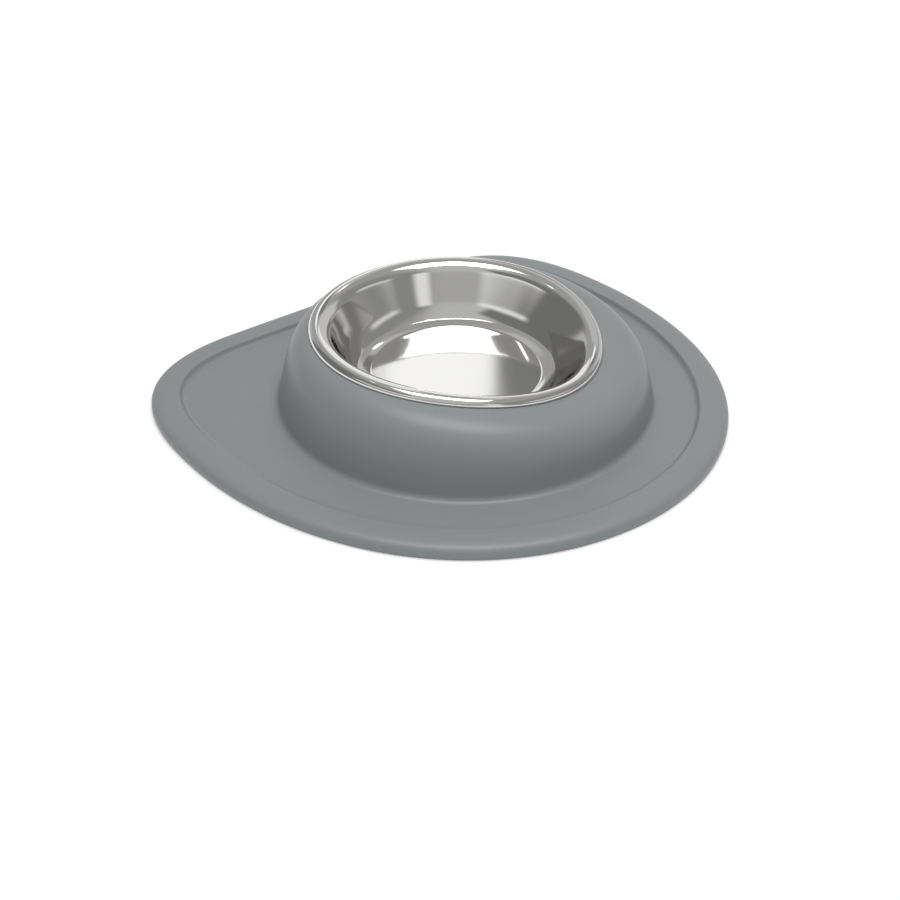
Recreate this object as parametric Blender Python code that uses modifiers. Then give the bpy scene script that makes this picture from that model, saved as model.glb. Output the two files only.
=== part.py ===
"""A low single pet feeder: a soft moulded mat with a round pedestal, and the scooped steel bowl that it carries.

Metres, +Z up, the mat's underside on z = 0 and its plan centred on the origin. The front of the mat, its round
end, faces -Y. Directions round the pedestal and the bowl are angles from the front, growing towards +X.
"""

import math

import bmesh
import bpy
import numpy as np
from mathutils import Vector
from mathutils.geometry import interpolate_bezier

# Mat outline, measured from the pedestal's centre: a round front, flared sides and a straight back
front_radius = 0.139
front_half_angle = math.radians(43)
side_reach = 0.1475
side_station = 0.0335
back_reach = 0.1315
back_half_straight = 0.066
flare_front_pull = 0.054
flare_side_pull = 0.0445
corner_side_pull = 0.038
corner_back_pull = 0.0775

# Mat section: a flat plate inside a raised, rounded border that holds spills
plate_thickness = 0.003
border_height = 0.0062
border_crest_start = 0.0070
border_crest_end = 0.0146
border_width = 0.0195
edge_undercut = 0.0008

# Pedestal, one moulding with the mat, hollow and open underneath
foot_radius = 0.100
foot_blend = 0.007
wall_draft = math.radians(15.5)
wall_thickness = 0.003
shoulder_radius = 0.0952
shoulder_shift = 0.0026
shoulder_drop = 0.0045
bore_round = 0.0008

# Bowl, drawn from sheet steel, its rim scooped low on one side
sheet = 0.0007
floor_height = 0.0145
floor_radius = 0.046
floor_fillet = 0.0105
crown_radius = 0.0732
crown_inner_bend = 0.0067
crown_outer_bend = 0.0034
rim_height = 0.0453
scoop_depth = 0.0120
scoop_sharpness = 4.0
scoop_turn = math.radians(28)
bowl_setback = 0.0053

# Clearances between the bowl and the pedestal
seat_gap = 0.0003
bore_clearance = 0.0024

# Facets
mat_stations = 88
bowl_stations = 72

rim_radius = crown_radius + crown_outer_bend
bore_radius = crown_radius - crown_inner_bend + sheet + bore_clearance
pedestal_centre = Vector((0, (front_radius - back_reach) / 2, 0))


def toward(angle):
    """The level direction at this angle from the front."""
    return Vector((math.sin(angle), -math.cos(angle), 0))


bowl_centre = pedestal_centre - bowl_setback * toward(scoop_turn)
shoulder_centre = pedestal_centre + shoulder_shift * toward(scoop_turn)


def facing_scoop(angle):
    """1 at the scoop, 0 opposite it."""
    return (1 + math.cos(angle - scoop_turn)) / 2


def rim_top(angle):
    """Height of the rim's crown: nearly level round the back and sides, low at the scoop."""
    return rim_height - scoop_depth * facing_scoop(angle)**scoop_sharpness


def seat_top(angle):
    """Height of the seat, on which the rim's turned-down edge rests."""
    return rim_top(angle) - crown_outer_bend - seat_gap


def lifted(centre, radius, angle, height):
    """The point at this radius and height, at an angle round a centre."""
    return centre + radius * toward(angle) + Vector((0, 0, height))


def bezier(start, start_handle, end_handle, end, count):
    """Points along a cubic curve in a plane, as (across, up) pairs."""
    return [tuple(p) for p in interpolate_bezier(start, start_handle, end_handle, end, count)]


def arc(centre, radius, first, last, count):
    """Points on a circle in a plane, as (across, up) pairs, between two angles in radians."""
    across, up = centre
    turns = np.linspace(first, last, count)
    return [(across + radius * math.cos(t), up + radius * math.sin(t)) for t in turns]


def mat_edge():
    """The mat's edge from the middle of the front to the middle of the back, as (angle, radius) arrays."""
    fine = 48
    front = [front_radius * toward(t) for t in np.linspace(0, front_half_angle, fine)]
    tangent = Vector((math.cos(front_half_angle), math.sin(front_half_angle), 0))
    side = Vector((side_reach, side_station, 0))
    back = Vector((back_half_straight, back_reach, 0))
    flare = interpolate_bezier(
        front[-1], front[-1] + flare_front_pull * tangent, side - Vector((0, flare_side_pull, 0)), side, fine
    )
    corner = interpolate_bezier(
        side, side + Vector((0, corner_side_pull, 0)), back + Vector((corner_back_pull, 0, 0)), back, fine
    )
    straight = [Vector((x, back_reach, 0)) for x in np.linspace(back_half_straight, 0, fine)]
    points = front + flare[1:] + corner[1:] + straight[1:]
    return [math.atan2(p.x, -p.y) for p in points], [p.length for p in points]


edge_angles, edge_radii = mat_edge()


def edge_point(angle, inset):
    """The point on the mat's edge at this angle, moved inwards at right angles to the edge."""

    def on_edge(turn):
        folded = abs(math.remainder(turn, 2 * math.pi))
        return float(np.interp(folded, edge_angles, edge_radii)) * toward(turn)

    step = math.radians(1)
    along = (on_edge(angle + step) - on_edge(angle - step)).normalized()
    inward = Vector((-along.y, along.x, 0))
    return on_edge(angle) + inset * inward


def border_section():
    """The border from its lower outer edge over the level crest to the plate, as (inset, height) pairs."""
    outer = bezier(
        (edge_undercut, 0),
        (-edge_undercut, 0.75 * border_height),
        (0.35 * border_crest_start, border_height),
        (border_crest_start, border_height),
        7,
    )
    fall = border_width - border_crest_end
    inner = bezier(
        (border_crest_end, border_height),
        (border_crest_end + 0.33 * fall, border_height),
        (border_crest_end + 0.20 * fall, plate_thickness),
        (border_width, plate_thickness),
        8,
    )
    return outer + inner


def pedestal_section(angle):
    """The pedestal from the plate over its wall, shoulder, seat and bore and back down inside, as points.

    Its foot stands round the pedestal's centre and its seat round the bowl's. The shoulder between them stands
    a little nearer the scoop than either, and falls lower on the far side.
    """
    seat = seat_top(angle)
    level = Vector((0, 0, 1))
    outward = toward(angle)
    lean = math.cos(wall_draft) * level - math.sin(wall_draft) * outward
    corner = lifted(pedestal_centre, foot_radius, angle, plate_thickness)
    wall_start = corner + foot_blend * lean
    blend = interpolate_bezier(
        corner + foot_blend * outward, corner + foot_blend / 3 * outward, corner + foot_blend / 3 * lean,
        wall_start, 5,
    )
    rise = 0.5 * (seat - wall_start.z)
    shoulder = seat - shoulder_drop * (1 - facing_scoop(angle))
    wall = interpolate_bezier(
        wall_start,
        wall_start + rise * lean,
        lifted(shoulder_centre, shoulder_radius, angle, shoulder),
        lifted(bowl_centre, rim_radius, angle, seat),
        13,
    )
    bore = [
        lifted(bowl_centre, radius, angle, height)
        for radius, height in arc((bore_radius + bore_round, seat - bore_round), bore_round, math.pi / 2, math.pi, 3)
    ]
    under = lifted(bowl_centre, bore_radius, angle, seat - wall_thickness)
    inside = []
    for before, here, after in zip(wall[:-2], wall[1:-1], wall[2:]):
        along = (after - before).normalized()
        across = outward - outward.dot(along) * along
        inside.append(here - wall_thickness * across.normalized())
    inside_foot = lifted(pedestal_centre, foot_radius - wall_thickness, angle, 0)
    return blend + wall[1:] + bore + [under] + list(reversed(inside)) + [inside_foot]


def feeder_mat_sections():
    """A closed section of the mat and pedestal at each station round the pedestal."""
    sections = []
    for angle in np.linspace(0, 2 * math.pi, mat_stations, endpoint=False):
        border = [
            pedestal_centre + edge_point(angle, inset) + Vector((0, 0, height))
            for inset, height in border_section()
        ]
        sections.append(border + pedestal_section(angle))
    return sections


def bowl_section(angle):
    """The bowl's upper face from the floor's edge over the rounded crown to its edge, as (radius, height) pairs.

    The straight wall runs from the floor's fillet to the crown's inner bend and is tangent to both.
    """
    top = rim_top(angle)
    fillet_centre = Vector((floor_radius, floor_height + floor_fillet))
    inner_centre = Vector((crown_radius, top - crown_inner_bend))
    outer_centre = Vector((crown_radius, top - crown_outer_bend))
    reach = inner_centre - fillet_centre
    slope = math.atan2(reach.y, reach.x) + math.asin((floor_fillet + crown_inner_bend) / reach.length)
    quarter = math.pi / 2
    fillet = arc(fillet_centre, floor_fillet, -quarter, slope - quarter, 7)
    inner_bend = arc(inner_centre, crown_inner_bend, slope + quarter, quarter, 8)
    outer_bend = arc(outer_centre, crown_outer_bend, quarter, 0, 8)
    start, end = Vector(fillet[-1]), Vector(inner_bend[0])
    wall = [tuple(start.lerp(end, share)) for share in (1 / 3, 2 / 3)]
    return fillet + wall + inner_bend + outer_bend[1:]


def bowl_sections():
    """The bowl's open section at each station, measured from the bowl's own centre."""
    return [
        [radius * toward(angle) + Vector((0, 0, height - floor_height)) for radius, height in bowl_section(angle)]
        for angle in np.linspace(0, 2 * math.pi, bowl_stations, endpoint=False)
    ]


def loft(name, sections, closed):
    """A mesh object through the sections, which follow each other in a ring. An open section's inner end is capped."""
    shape = bmesh.new()
    rows = [[shape.verts.new(point) for point in section] for section in sections]
    length = len(sections[0])
    for row, following in zip(rows, rows[1:] + rows[:1]):
        for j in range(length if closed else length - 1):
            k = (j + 1) % length
            shape.faces.new((row[j], following[j], following[k], row[k]))
    if closed:
        bmesh.ops.recalc_face_normals(shape, faces=shape.faces)
    else:
        shape.faces.new([row[0] for row in reversed(rows)])
        shape.normal_update()
        upside_down = [face for face in shape.faces if face.normal.z < 0 and len(face.verts) > 4]
        if upside_down:
            bmesh.ops.reverse_faces(shape, faces=shape.faces)
    mesh = bpy.data.meshes.new(name)
    shape.to_mesh(mesh)
    shape.free()
    mesh.shade_smooth()
    return bpy.data.objects.new(name, mesh)


def material(name, colour, roughness, metallic):
    made = bpy.data.materials.new(name)
    made.use_nodes = True
    surface = made.node_tree.nodes["Principled BSDF"]
    surface.inputs["Base Color"].default_value = (*colour, 1)
    surface.inputs["Roughness"].default_value = roughness
    surface.inputs["Metallic"].default_value = metallic
    return made


def feeder_mat(collection):
    """Mat, border and pedestal, one soft moulding."""
    made = loft("feeder_mat", feeder_mat_sections(), closed=True)
    made.data.materials.append(material("soft_grey_plastic", (0.28, 0.30, 0.31), 0.6, 0))
    collection.objects.link(made)


def steel_bowl(collection):
    """The bowl, which lifts out. Its origin is on its own axis, at the floor."""
    made = loft("steel_bowl", bowl_sections(), closed=False)
    made.location = bowl_centre + Vector((0, 0, floor_height))
    thickness = made.modifiers.new("sheet", "SOLIDIFY")
    thickness.thickness = sheet
    thickness.offset = -1
    thickness.use_even_offset = True
    made.data.materials.append(material("satin_steel", (0.74, 0.74, 0.73), 0.24, 1))
    collection.objects.link(made)


def main():
    for old in list(bpy.data.objects):
        bpy.data.objects.remove(old, do_unlink=True)
    collection = bpy.data.collections.new("pet_food_bowl")
    bpy.context.scene.collection.children.link(collection)
    feeder_mat(collection)
    steel_bowl(collection)


main()
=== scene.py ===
# %% [markdown]
# This notebook dresses a low pet feeder for its picture. The real product is two pieces: a soft grey
# moulding, which is a mat with a hollow pedestal, and a scooped steel bowl that hangs in the pedestal and
# lifts out. The engineering model is loaded first and stays as it is. The overall sizes of the two fine
# pieces are read from it, so they keep to its size whatever else is refined.

# %% Load the frame
import math

import bmesh
import bpy
import numpy as np
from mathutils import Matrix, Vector
from mathutils.geometry import interpolate_bezier


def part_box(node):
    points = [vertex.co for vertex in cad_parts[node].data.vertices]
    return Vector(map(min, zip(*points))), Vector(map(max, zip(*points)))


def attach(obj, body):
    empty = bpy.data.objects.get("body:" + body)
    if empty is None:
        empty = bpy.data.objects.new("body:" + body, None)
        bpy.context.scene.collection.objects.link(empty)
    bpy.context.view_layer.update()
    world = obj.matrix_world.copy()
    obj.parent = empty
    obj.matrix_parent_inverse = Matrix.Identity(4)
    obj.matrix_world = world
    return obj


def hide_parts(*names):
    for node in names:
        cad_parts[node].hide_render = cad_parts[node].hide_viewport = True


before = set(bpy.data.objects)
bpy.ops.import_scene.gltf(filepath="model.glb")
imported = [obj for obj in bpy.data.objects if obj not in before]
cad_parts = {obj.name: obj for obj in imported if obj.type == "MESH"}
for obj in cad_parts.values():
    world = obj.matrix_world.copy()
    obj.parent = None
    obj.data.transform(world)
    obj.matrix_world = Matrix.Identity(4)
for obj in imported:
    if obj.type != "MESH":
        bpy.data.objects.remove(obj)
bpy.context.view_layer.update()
mat_low, mat_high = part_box("feeder_mat")
steel_low, steel_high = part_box("steel_bowl")
print("the mat's box is", tuple(mat_high - mat_low), "and the bowl's", tuple(steel_high - steel_low))

# %% [markdown]
# The camera comes before the shapes, so that every later picture is taken from the same place. It looks
# down at about 35 degrees from the front left, with a normal lens. Its place is written as an aim point on
# the ground, two angles and a distance, because those are the numbers that a photographer would change.

# %% Set up the camera
aim = Vector((-0.0402, -0.0318, 0))
looking_down = math.radians(34.6)
round_to_the_left = math.radians(39.7)
camera_distance = 0.5685
lens_mm = 45.48

towards_camera = Vector((
    -math.sin(round_to_the_left) * math.cos(looking_down),
    -math.cos(round_to_the_left) * math.cos(looking_down),
    math.sin(looking_down),
))
camera = bpy.data.objects.new("camera", bpy.data.cameras.new("camera"))
camera.data.lens = lens_mm
camera.location = aim + camera_distance * towards_camera
camera.rotation_euler = (-towards_camera).to_track_quat("-Z", "Y").to_euler()
bpy.context.scene.collection.objects.link(camera)
bpy.context.scene.camera = camera
print("camera at", tuple(round(value, 4) for value in camera.location))

# %% [markdown]
# Both pieces are round things whose section changes on the way round, so a lathe profile can't make them.
# A loft can: one section is drawn at each of many stations round the pedestal, and quads join them.
# Stations are angles from the front of the mat, growing towards the right. The sections themselves are
# drawn with two small helpers, a cubic curve and an arc, as (across, up) pairs.

# %% Helpers for drawing sections
stations = 384


def toward(angle):
    """The level direction at this angle from the front of the mat."""
    return Vector((math.sin(angle), -math.cos(angle), 0))


def curve(start, start_handle, end_handle, end, count):
    return [tuple(point) for point in interpolate_bezier(start, start_handle, end_handle, end, count)]


def arc(centre, radius, first, last, count):
    across, up = centre
    turns = np.linspace(first, last, count)
    return [(across + radius * math.cos(t), up + radius * math.sin(t)) for t in turns]


angles = np.linspace(0, 2 * math.pi, stations, endpoint=False)
print(stations, "stations,", round(360 / stations, 2), "degrees apart")

# %% [markdown]
# Seen from above, the mat has a round front, sides that flare outwards, soft back corners and a straight
# back. The reach to the side, the front and the back is read from the engineering model, whose widest line
# lies a little inside the drawn outline, because the edge is rounded. Between them run two cubic curves a
# side, which keep the outline smooth where it turns from hollow to full. One half is drawn, and the other
# is its mirror image.

# %% The mat's outline
edge_inset = 0.00039
pedestal_setback = 0.00375
side_reach = mat_high.x + edge_inset
front_radius = (mat_high.y - mat_low.y) / 2 + edge_inset + pedestal_setback
back_reach = front_radius - 2 * pedestal_setback
pedestal_centre = Vector((0, (front_radius - back_reach) / 2, 0))
front_half_angle = math.radians(43)
side_station = 0.0335
back_half_straight = 0.066
flare_front_pull = 0.054
flare_side_pull = 0.0445
corner_side_pull = 0.038
corner_back_pull = 0.0775
outline_points = 160


def outline_of_half_the_mat():
    front = [front_radius * toward(t) for t in np.linspace(0, front_half_angle, outline_points)]
    tangent = Vector((math.cos(front_half_angle), math.sin(front_half_angle), 0))
    side = Vector((side_reach, side_station, 0))
    back = Vector((back_half_straight, back_reach, 0))
    flare = interpolate_bezier(
        front[-1], front[-1] + flare_front_pull * tangent, side - Vector((0, flare_side_pull, 0)), side,
        outline_points,
    )
    corner = interpolate_bezier(
        side, side + Vector((0, corner_side_pull, 0)), back + Vector((corner_back_pull, 0, 0)), back,
        outline_points,
    )
    straight = [Vector((x, back_reach, 0)) for x in np.linspace(back_half_straight, 0, outline_points)]
    return front + flare[1:] + corner[1:] + straight[1:]


outline = outline_of_half_the_mat()
outline_angles = [math.atan2(point.x, -point.y) for point in outline]
outline_radii = [point.length for point in outline]


def on_outline(angle):
    folded = abs(math.remainder(angle, 2 * math.pi))
    return float(np.interp(folded, outline_angles, outline_radii)) * toward(angle)


def inside_outline(angle, inset):
    """The point of the outline at this angle, moved inwards at right angles to it."""
    step = math.radians(1)
    edge = (on_outline(angle + step) - on_outline(angle - step)).normalized()
    return pedestal_centre + on_outline(angle) + inset * Vector((-edge.y, edge.x, 0))


print("the mat is", round(2 * side_reach, 4), "wide and", round(front_radius + back_reach, 4), "deep")

# %% [markdown]
# The spill border is what keeps water on the mat. It has a rounded outer face, a level top and a short
# step down to the plate inside. The step's upper edge is crisp and its foot is soft, so it shows in the
# picture as a thin shadow line all round. It is drawn as two curves with the level top between them. The
# shares say how far along each curve's own height or width its handles lie.

# %% The border's section
plate_thickness = 0.003
border_height = 0.0062
border_crest_start = 0.0070
border_crest_end = 0.0146
border_width = 0.0195
edge_undercut = 0.0008
outer_face_share = 0.75
outer_top_share = 0.35
step_top_share = 0.33
step_foot_share = 0.20
border_curve_points = 20


def border_section():
    outer = curve(
        (edge_undercut, 0), (-edge_undercut, outer_face_share * border_height),
        (outer_top_share * border_crest_start, border_height), (border_crest_start, border_height),
        border_curve_points,
    )
    fall = border_width - border_crest_end
    inner = curve(
        (border_crest_end, border_height), (border_crest_end + step_top_share * fall, border_height),
        (border_crest_end + step_foot_share * fall, plate_thickness), (border_width, plate_thickness),
        border_curve_points,
    )
    return outer + inner


print("the border stands", round(1000 * (border_height - plate_thickness), 1), "mm over the plate")

# %% [markdown]
# The rim of the bowl is nearly level at the back and dips at one side, so that a short-nosed animal
# reaches its food. One formula gives the height of its crown at every angle, and both pieces follow it:
# the rounded rim of the bowl, and the seat that its turned-down edge rests on. That is what makes them fit
# all the way round.

# %% The scooped rim
rim_height = steel_high.z
scoop_depth = 0.0120
scoop_sharpness = 4.0
scoop_turn = math.radians(28)
crown_inner_bend = 0.0088
crown_outer_bend = 0.0034
seat_gap = 0.0003
bowl_centre = Vector(((steel_low.x + steel_high.x) / 2, (steel_low.y + steel_high.y) / 2, 0))
rim_radius = (steel_high.x - steel_low.x) / 2
crown_radius = rim_radius - crown_outer_bend


def facing_scoop(angle):
    """1 at the scoop, 0 opposite it."""
    return (1 + math.cos(angle - scoop_turn)) / 2


def rim_top(angle):
    return rim_height - scoop_depth * facing_scoop(angle)**scoop_sharpness


def seat_top(angle):
    return rim_top(angle) - crown_outer_bend - seat_gap


print("the rim runs from", round(rim_top(scoop_turn), 4), "up to", round(rim_top(scoop_turn + math.pi), 4))

# %% [markdown]
# The pedestal grows out of the plate through a small blend, leans in, and rolls over a full shoulder to
# the seat of the bowl. It is hollow and open underneath, as a moulding of even wall has to be. The foot is
# round about the pedestal's centre, the seat about the bowl's, and the shoulder stands a little nearer the
# scoop than either, so the top is broad at the scoop and narrow behind it.

# %% The pedestal's section
foot_radius = 0.100
foot_blend = 0.003
wall_draft = math.radians(15.5)
wall_thickness = 0.003
straight_share = 0.5
shoulder_radius = 0.0962
shoulder_shift = 0.0026
shoulder_drop = 0.0045
bore_round = 0.0008
bore_radius = 0.0696
blend_points = 16
outer_wall_points = 48
bore_points = 6
shoulder_centre = pedestal_centre + shoulder_shift * toward(scoop_turn)


def lifted(centre, radius, angle, height):
    """The point at this radius and height, at an angle round a centre."""
    return centre + radius * toward(angle) + Vector((0, 0, height))


def pedestal_section(angle):
    """From the plate over the wall, shoulder, seat and bore, and back down inside to the floor."""
    seat = seat_top(angle)
    outward = toward(angle)
    lean = Vector((0, 0, math.cos(wall_draft))) - math.sin(wall_draft) * outward
    corner = lifted(pedestal_centre, foot_radius, angle, plate_thickness)
    wall_start = corner + foot_blend * lean
    blend = interpolate_bezier(
        corner + foot_blend * outward, corner + foot_blend / 3 * outward, corner + foot_blend / 3 * lean,
        wall_start, blend_points,
    )
    shoulder = seat - shoulder_drop * (1 - facing_scoop(angle))
    wall = interpolate_bezier(
        wall_start, wall_start + straight_share * (seat - wall_start.z) * lean,
        lifted(shoulder_centre, shoulder_radius, angle, shoulder),
        lifted(bowl_centre, rim_radius, angle, seat), outer_wall_points,
    )
    round_centre = (bore_radius + bore_round, seat - bore_round)
    bore_edge = arc(round_centre, bore_round, math.pi / 2, math.pi, bore_points)
    bore = [lifted(bowl_centre, radius, angle, height) for radius, height in bore_edge]
    under = lifted(bowl_centre, bore_radius, angle, seat - wall_thickness)
    inside = []
    for before, here, after in zip(wall[:-2:2], wall[1:-1:2], wall[2::2]):
        slant = (after - before).normalized()
        across = outward - outward.dot(slant) * slant
        inside.append(here - wall_thickness * across.normalized())
    inside_foot = lifted(pedestal_centre, foot_radius - wall_thickness, angle, 0)
    return blend + wall[1:] + bore + [under] + list(reversed(inside)) + [inside_foot]


print("the seat stands", round(1000 * seat_top(scoop_turn + math.pi), 1), "mm high opposite the scoop")

# %% [markdown]
# The loft itself is a few lines of bmesh. A closed section gives a closed skin, which the moulding needs.
# An open one gives a sheet, which the bowl needs, and its innermost ring is filled by one flat face.

# %% Loft a skin through the sections
sharp_corner = math.radians(38)


def loft(name, sections, closed):
    shape = bmesh.new()
    rows = [[shape.verts.new(point) for point in section] for section in sections]
    steps = len(sections[0]) if closed else len(sections[0]) - 1
    for row, following in zip(rows, rows[1:] + rows[:1]):
        for j in range(steps):
            k = (j + 1) % len(row)
            shape.faces.new((row[j], following[j], following[k], row[k]))
    if not closed:
        shape.faces.new([row[0] for row in reversed(rows)])
    bmesh.ops.recalc_face_normals(shape, faces=shape.faces)
    mesh = bpy.data.meshes.new(name)
    shape.to_mesh(mesh)
    shape.free()
    mesh.shade_smooth()
    mesh.set_sharp_from_angle(angle=sharp_corner)
    piece = bpy.data.objects.new(name, mesh)
    bpy.context.scene.collection.objects.link(piece)
    print(name, "has", len(mesh.polygons), "faces")
    return piece


print("corners over", round(math.degrees(sharp_corner)), "degrees stay sharp")

# %% [markdown]
# The mat, its border and the pedestal come out of the mould as one piece, so one closed section runs
# through all three. The plate between border and pedestal is flat and would need no points of its own. It
# still gets a few rings, because very long faces next to very small ones shade unevenly.

# %% Mould the mat
plate_rings = 8


def mat_section(angle):
    border = [inside_outline(angle, inset) + Vector((0, 0, height)) for inset, height in border_section()]
    pedestal = pedestal_section(angle)
    plate = [border[-1].lerp(pedestal[0], share) for share in np.linspace(0, 1, plate_rings + 2)[1:-1]]
    return border + plate + pedestal


moulding = loft("grey_moulding", [mat_section(angle) for angle in angles], closed=True)

# %% [markdown]
# The bowl is drawn from one sheet: a flat floor, a steep wall, and a broad rim that is rounded over and
# turned down, so that no sharp edge is left on top. A press doesn't leave one plain radius between floor
# and wall. The sheet lifts off the floor, runs on in a slow curve, turns a tight corner, and straightens
# out slowly, and it is this that gives steel its bands of light and dark. So the bend is a table: up to
# each slope in degrees, one radius in metres.

# %% Press the bend between floor and wall
sheet = 0.0007
floor_height = steel_low.z + sheet
floor_radius = 0.0450
bend_radii = ((9, 0.006), (24, 0.026), (42, 0.0012), (85, 0.024))
bend_steps = 340

slopes = np.radians(np.linspace(0, bend_radii[-1][0], bend_steps + 1))
bend_across, bend_up = [floor_radius], [floor_height]
for before, after in zip(slopes[:-1], slopes[1:]):
    slope = (before + after) / 2
    radius = next(radius for limit, radius in bend_radii if slope <= math.radians(limit))
    bend_across.append(bend_across[-1] + radius * (after - before) * math.cos(slope))
    bend_up.append(bend_up[-1] + radius * (after - before) * math.sin(slope))
bend_across, bend_up = np.array(bend_across), np.array(bend_up)
print("a full bend would reach", round(1000 * (bend_across[-1] - floor_radius), 1), "mm past the floor")

# %% [markdown]
# The wall is straight and leaves the bend where the bend points at the rim. As the rim is scooped, that is
# at another slope for every angle, so the slope is looked up: it is the one whose straight line just
# touches the rim's inner arc. Only the upper face is drawn. A Solidify modifier then gives the sheet its
# real thickness.

# %% Draw the bowl
floor_rings = (0.004, 0.016, 0.028, 0.038)
bend_points = 36
inner_wall_points = 10
rim_arc_points = 24


def bowl_section(angle):
    top = rim_top(angle)
    inner_centre = Vector((crown_radius, top - crown_inner_bend))
    reach_across, reach_up = inner_centre.x - bend_across, inner_centre.y - bend_up
    to_the_side = reach_across * np.sin(slopes) - reach_up * np.cos(slopes)
    slope = float(np.interp(crown_inner_bend, to_the_side, slopes))
    bend = [
        (float(np.interp(turn, slopes, bend_across)), float(np.interp(turn, slopes, bend_up)))
        for turn in np.linspace(0, slope, bend_points)
    ]
    quarter = math.pi / 2
    inner_bend = arc(inner_centre, crown_inner_bend, slope + quarter, quarter, rim_arc_points)
    outer_bend = arc((crown_radius, top - crown_outer_bend), crown_outer_bend, quarter, 0, rim_arc_points)
    start, end = Vector(bend[-1]), Vector(inner_bend[0])
    wall = [tuple(start.lerp(end, share)) for share in np.linspace(0, 1, inner_wall_points)[1:-1]]
    return [(radius, floor_height) for radius in floor_rings] + bend + wall + inner_bend + outer_bend[1:]


def bowl_station(angle):
    """The section as points in space, measured from the bowl's axis and floor."""
    section = bowl_section(angle)
    return [radius * toward(angle) + Vector((0, 0, height - floor_height)) for radius, height in section]


bowl = loft("drawn_steel_bowl", [bowl_station(angle) for angle in angles], closed=False)
bowl.location = bowl_centre + Vector((0, 0, floor_height))
if bowl.data.polygons[-1].normal.z < 0:
    bowl.data.flip_normals()
steel_sheet = bowl.modifiers.new("sheet", "SOLIDIFY")
steel_sheet.thickness = sheet
steel_sheet.offset = -1
steel_sheet.use_even_offset = True

# %% [markdown]
# Nodes are wired by hand in the shader editor, but in a script a small helper reads better: it adds a
# node, sets its values and returns it, so that each finish below is only the list of what it is made of.

# %% Helpers for materials


def new_material(name):
    material = bpy.data.materials.new(name)
    material.use_nodes = True
    return material, material.node_tree, material.node_tree.nodes["Principled BSDF"]


def add_node(tree, kind, **settings):
    """A new node. A setting is one of its properties or an input, with _ for each space in its name."""
    node = tree.nodes.new(kind)
    for name, value in settings.items():
        if hasattr(node, name):
            setattr(node, name, value)
        else:
            node.inputs[name.replace("_", " ")].default_value = value
    return node


print("the scene has", len(bpy.data.materials), "materials before the fine ones are mixed")

# %% [markdown]
# The moulding is a matt, slightly cool mid grey. One flat grey would look like a drawing, so two noise
# textures disturb it a little. A coarse one lets the colour drift by about two hundredths over the whole
# piece. A fine one is the grain that a mould leaves on soft plastic: it varies the gloss and raises the
# surface by less than a hair's breadth.

# %% Soft grey plastic
grey_low = (0.249, 0.264, 0.270, 1)
grey_high = (0.271, 0.286, 0.292, 1)
plastic_roughness = (0.37, 0.45)
grain_per_metre = 2600
grain_depth = 0.00004
cloud_per_metre = 28

plastic, tree, surface = new_material("soft_grey_plastic")
place = add_node(tree, "ShaderNodeTexCoord")
grain = add_node(tree, "ShaderNodeTexNoise", Scale=grain_per_metre, Detail=3.0, Roughness=0.6)
cloud = add_node(tree, "ShaderNodeTexNoise", Scale=cloud_per_metre, Detail=4.0)
tint = add_node(tree, "ShaderNodeMix", data_type="RGBA")
tint.inputs["A"].default_value = grey_low
tint.inputs["B"].default_value = grey_high
gloss = add_node(tree, "ShaderNodeMapRange", To_Min=plastic_roughness[0], To_Max=plastic_roughness[1])
relief = add_node(tree, "ShaderNodeBump", Strength=0.25, Distance=grain_depth)
for texture in (grain, cloud):
    tree.links.new(place.outputs["Object"], texture.inputs["Vector"])
tree.links.new(cloud.outputs["Fac"], tint.inputs["Factor"])
tree.links.new(tint.outputs["Result"], surface.inputs["Base Color"])
tree.links.new(grain.outputs["Fac"], gloss.inputs["Value"])
tree.links.new(gloss.outputs["Result"], surface.inputs["Roughness"])
tree.links.new(grain.outputs["Fac"], relief.inputs["Height"])
tree.links.new(relief.outputs["Normal"], surface.inputs["Normal"])
moulding.data.materials.append(plastic)
print(plastic.name, "is made of", len(tree.nodes), "nodes")

# %% [markdown]
# The steel is bright, but not a mirror. Such a bowl is polished while it spins, which leaves fine lines
# that run round its axis. A noise makes such lines when it is told only two things about a point: its
# distance from the axis and its height. It varies the gloss, and gives a relief that is too fine to see by
# itself. The shader's anisotropy draws every highlight out a little round the axis, for which it needs a
# tangent.

# %% Satin steel
steel_tint = (0.72, 0.715, 0.70, 1)
steel_roughness = (0.05, 0.10)
steel_anisotropy = 0.35
lines_per_metre = 1500
line_depth = 0.00001

steel, tree, surface = new_material("satin_steel")
surface.inputs["Base Color"].default_value = steel_tint
surface.inputs["Metallic"].default_value = 1
surface.inputs["Anisotropic"].default_value = steel_anisotropy
place = add_node(tree, "ShaderNodeTexCoord")
parts = add_node(tree, "ShaderNodeSeparateXYZ")
level_part = add_node(tree, "ShaderNodeCombineXYZ")
from_the_axis = add_node(tree, "ShaderNodeVectorMath", operation="LENGTH")
rings = add_node(tree, "ShaderNodeCombineXYZ")
lines = add_node(tree, "ShaderNodeTexNoise", Scale=lines_per_metre, Detail=4.0, Roughness=0.7)
gloss = add_node(tree, "ShaderNodeMapRange", To_Min=steel_roughness[0], To_Max=steel_roughness[1])
relief = add_node(tree, "ShaderNodeBump", Strength=0.12, Distance=line_depth)
round_about = add_node(tree, "ShaderNodeTangent", direction_type="RADIAL", axis="Z")
tree.links.new(place.outputs["Object"], parts.inputs["Vector"])
tree.links.new(parts.outputs["X"], level_part.inputs["X"])
tree.links.new(parts.outputs["Y"], level_part.inputs["Y"])
tree.links.new(level_part.outputs["Vector"], from_the_axis.inputs[0])
tree.links.new(from_the_axis.outputs["Value"], rings.inputs["X"])
tree.links.new(parts.outputs["Z"], rings.inputs["Y"])
tree.links.new(rings.outputs["Vector"], lines.inputs["Vector"])
tree.links.new(lines.outputs["Fac"], gloss.inputs["Value"])
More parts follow.
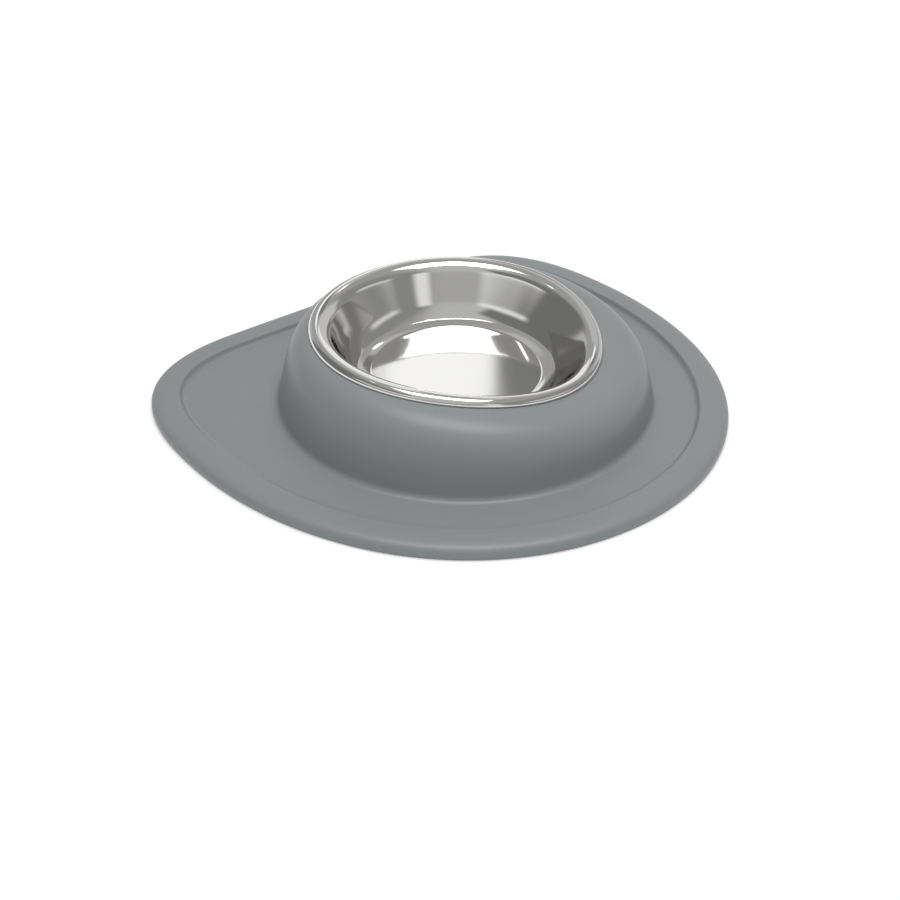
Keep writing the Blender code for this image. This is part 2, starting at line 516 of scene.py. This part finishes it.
tree.links.new(gloss.outputs["Result"], surface.inputs["Roughness"])
tree.links.new(lines.outputs["Fac"], relief.inputs["Height"])
tree.links.new(relief.outputs["Normal"], surface.inputs["Normal"])
tree.links.new(round_about.outputs["Tangent"], surface.inputs["Tangent"])
bowl.data.materials.append(steel)
print(steel.name, "is made of", len(tree.nodes), "nodes")

# %% [markdown]
# Each piece is now handed to the body that it moves with. The moulding lies still, and the bowl goes up
# with the slide that stands in for lifting it off by hand.

# %% Hand the pieces to their bodies
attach(moulding, "mat")
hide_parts("feeder_mat")
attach(bowl, "bowl")
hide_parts("steel_bowl")
print("the moulding rides on the mat's body, and the drawn bowl on the bowl's")

# %% [markdown]
# The picture has a plain white ground. The floor is pale and takes the soft shadow. It also gives a little
# light of its own, which grows outwards from the feeder, so that the ground is white right to the
# picture's corners. Only the camera, reflections and clear materials see that light, so it adds next to
# nothing to the light on the matt plastic.

# %% Lay the floor
floor_half = 3.0
floor_drop = 0.0002
paper_white = (0.86, 0.86, 0.86, 1)
glow_near = 0.24
glow_far = 0.60
glow_starts = 0.2
glow_is_full = 1.2

ground = bmesh.new()
bmesh.ops.create_grid(ground, x_segments=1, y_segments=1, size=floor_half)
ground_mesh = bpy.data.meshes.new("floor")
ground.to_mesh(ground_mesh)
ground.free()
floor = bpy.data.objects.new("floor", ground_mesh)
floor.location.z = -floor_drop
bpy.context.scene.collection.objects.link(floor)

paper, tree, surface = new_material("floor_paper")
surface.inputs["Base Color"].default_value = paper_white
surface.inputs["Roughness"].default_value = 1
surface.inputs["Specular IOR Level"].default_value = 0
surface.inputs["Emission Color"].default_value = (1, 1, 1, 1)
place = add_node(tree, "ShaderNodeTexCoord")
distance = add_node(tree, "ShaderNodeVectorMath", operation="LENGTH")
outwards = add_node(
    tree, "ShaderNodeMapRange",
    From_Min=glow_starts, From_Max=glow_is_full, To_Min=glow_near, To_Max=glow_far,
)
seen_by = add_node(tree, "ShaderNodeLightPath")
camera_or_gloss = add_node(tree, "ShaderNodeMath", operation="MAXIMUM")
any_of_the_three = add_node(tree, "ShaderNodeMath", operation="MAXIMUM")
glow = add_node(tree, "ShaderNodeMath", operation="MULTIPLY")
tree.links.new(place.outputs["Object"], distance.inputs[0])
tree.links.new(distance.outputs["Value"], outwards.inputs["Value"])
tree.links.new(seen_by.outputs["Is Camera Ray"], camera_or_gloss.inputs[0])
tree.links.new(seen_by.outputs["Is Glossy Ray"], camera_or_gloss.inputs[1])
tree.links.new(camera_or_gloss.outputs["Value"], any_of_the_three.inputs[0])
tree.links.new(seen_by.outputs["Is Transmission Ray"], any_of_the_three.inputs[1])
tree.links.new(any_of_the_three.outputs["Value"], glow.inputs[0])
tree.links.new(outwards.outputs["Result"], glow.inputs[1])
tree.links.new(glow.outputs["Value"], surface.inputs["Emission Strength"])
floor.data.materials.append(paper)
print("the floor is", 2 * floor_half, "m wide and glows from", glow_near, "to", glow_far)

# %% [markdown]
# The light is that of a small product studio: one large softbox overhead, which makes level faces about
# twice as bright as upright ones. Steel has hardly any colour of its own, so what the picture shows in the
# bowl is the room. Directions in the room are given as a photographer would: a bearing, counted to the
# right from straight behind the feeder as the camera sees it, and a height over the horizon.

# %% Hang the softbox
softbox_height = 1.3
softbox_width = 0.92
softbox_depth = 0.66
softbox_power = 9.5
softbox_shift = 0.06
away = Vector((math.sin(round_to_the_left), math.cos(round_to_the_left), 0))
rightwards = Vector((math.cos(round_to_the_left), -math.sin(round_to_the_left), 0))


def direction(bearing, height):
    bearing, height = math.radians(bearing), math.radians(height)
    level = math.cos(bearing) * away + math.sin(bearing) * rightwards
    return math.cos(height) * level + Vector((0, 0, math.sin(height)))


softbox = bpy.data.objects.new("overhead_softbox", bpy.data.lights.new("overhead_softbox", "AREA"))
softbox.data.shape = "RECTANGLE"
softbox.data.size = softbox_width
softbox.data.size_y = softbox_depth
softbox.data.energy = softbox_power
softbox.location = softbox_shift * rightwards - softbox_shift * away + Vector((0, 0, softbox_height))
softbox.rotation_euler = (0, 0, -round_to_the_left)
bpy.context.scene.collection.objects.link(softbox)
print("the softbox hangs at", tuple(round(value, 3) for value in softbox.location))

# %% [markdown]
# The rest of the room is painted on the world, because what is painted there shows in the steel without
# standing near the feeder. Each panel has soft edges and is laid over the ones before it, so painting one
# takes only a little arithmetic: how far a direction lies inside the panel's sides, turned into a cover
# from 0 to 1.

# %% Helpers for painting the room


def calculate(tree, operation, *values):
    """A maths node. Each of its inputs is a number or what another node gives."""
    node = add_node(tree, "ShaderNodeMath", operation=operation)
    for socket, value in zip(node.inputs, values):
        if isinstance(value, bpy.types.NodeSocket):
            tree.links.new(value, socket)
        else:
            socket.default_value = value
    return node.outputs["Value"]


def how_far_along(tree, view, axis):
    """How far the direction of view points along an axis."""
    node = add_node(tree, "ShaderNodeVectorMath", operation="DOT_PRODUCT")
    tree.links.new(view, node.inputs[0])
    node.inputs[1].default_value = axis
    return node.outputs["Value"]


def panel(tree, view, behind, bearing, height, half_width, half_height, softness, brightness):
    """A panel with soft edges over what is behind it. Half sizes and softness are angles in degrees."""
    middle = direction(bearing, height)
    across = middle.cross(Vector((0, 0, 1))).normalized()
    upwards = across.cross(middle)
    facing = how_far_along(tree, view, middle)
    cover = 1.0
    for axis, half in ((across, half_width), (upwards, half_height)):
        sideways = calculate(tree, "ABSOLUTE", how_far_along(tree, view, axis))
        reach = calculate(tree, "MULTIPLY", facing, math.tan(math.radians(half)))
        edge = add_node(
            tree, "ShaderNodeMapRange", interpolation_type="SMOOTHSTEP",
            From_Min=-math.radians(softness), From_Max=math.radians(softness),
        )
        tree.links.new(calculate(tree, "SUBTRACT", reach, sideways), edge.inputs["Value"])
        cover = calculate(tree, "MULTIPLY", cover, edge.outputs["Result"])
    return calculate(tree, "MULTIPLY_ADD", cover, calculate(tree, "SUBTRACT", brightness, behind), behind)


print("a panel straight behind, 30 degrees up, lies towards", tuple(round(v, 2) for v in direction(0, 30)))

# %% [markdown]
# Behind the feeder stand a bright backdrop, a window over it and a dark card beside the window, which the
# bowl's floor mirrors, with a pale ceiling over them and a pale screen on either side. Dark cloth hangs on
# the left and the right, and it matters most: without it the steel looks like grey paint. A tall strip and
# two low banks of light stand further round towards the camera, and the inside of the far wall shows them.
# Two small lamps put the bright spots in the bend. The camera itself sees plain white instead of this
# room, like the ground that it meets.

# %% Paint the room
room_grey = 0.42
panels = {
    "camera side": (-172, 50, 30, 28, 14, 0.6),
    "dark cloth on the left": (-80, 24, 34, 28, 9, 0.2),
    "dark cloth on the right": (92, 26, 46, 22, 8, 0.31),
    "pale ceiling": (-1, 45, 14, 8, 4, 0.6),
    "pale screen": (28, 11, 19, 18, 4, 0.68),
    "screen on the left": (-36, 6, 8, 14, 4, 0.55),
    "backdrop": (0.5, 7, 8, 18, 1.2, 1.05),
    "dark card": (9, 32, 6.5, 3.6, 0.6, 0.23),
    "window": (-0.7, 32, 2.9, 5, 0.4, 1.25),
    "lamp on the left": (-59, 61, 1.0, 1.0, 0.8, 5.0),
    "lamp on the right": (18.5, 41.8, 1.8, 1.8, 0.8, 3.0),
    "low bank on the left": (-128, 27, 26, 5, 6, 1.0),
    "dark cloth over the bank": (-114, 45, 24, 10, 5, 0.22),
    "low bank on the right": (98, 20, 18, 4, 6, 0.9),
    "tall strip": (147, 14, 6.5, 12, 4, 0.95),
}

world = bpy.data.worlds.new("studio")
bpy.context.scene.world = world
world.use_nodes = True
tree = world.node_tree
place = add_node(tree, "ShaderNodeTexCoord")
brightness = room_grey
for name, (bearing, height, half_width, half_height, softness, level) in panels.items():
    brightness = panel(
        tree, place.outputs["Generated"], brightness,
        bearing, height, half_width, half_height, softness, level,
    )
    print(name, "is", 2 * half_width, "degrees wide and", 2 * half_height, "high")
room = tree.nodes["Background"]
room.inputs["Color"].default_value = (1, 1, 1, 1)
tree.links.new(brightness, room.inputs["Strength"])
white = add_node(tree, "ShaderNodeBackground")
white.inputs["Color"].default_value = (1, 1, 1, 1)
seen_by = add_node(tree, "ShaderNodeLightPath")
choose = add_node(tree, "ShaderNodeMixShader")
tree.links.new(seen_by.outputs["Is Camera Ray"], choose.inputs["Fac"])
tree.links.new(room.outputs["Background"], choose.inputs[1])
tree.links.new(white.outputs["Background"], choose.inputs[2])
tree.links.new(choose.outputs["Shader"], tree.nodes["World Output"].inputs["Surface"])
bpy.context.scene.view_settings.view_transform = "Standard"
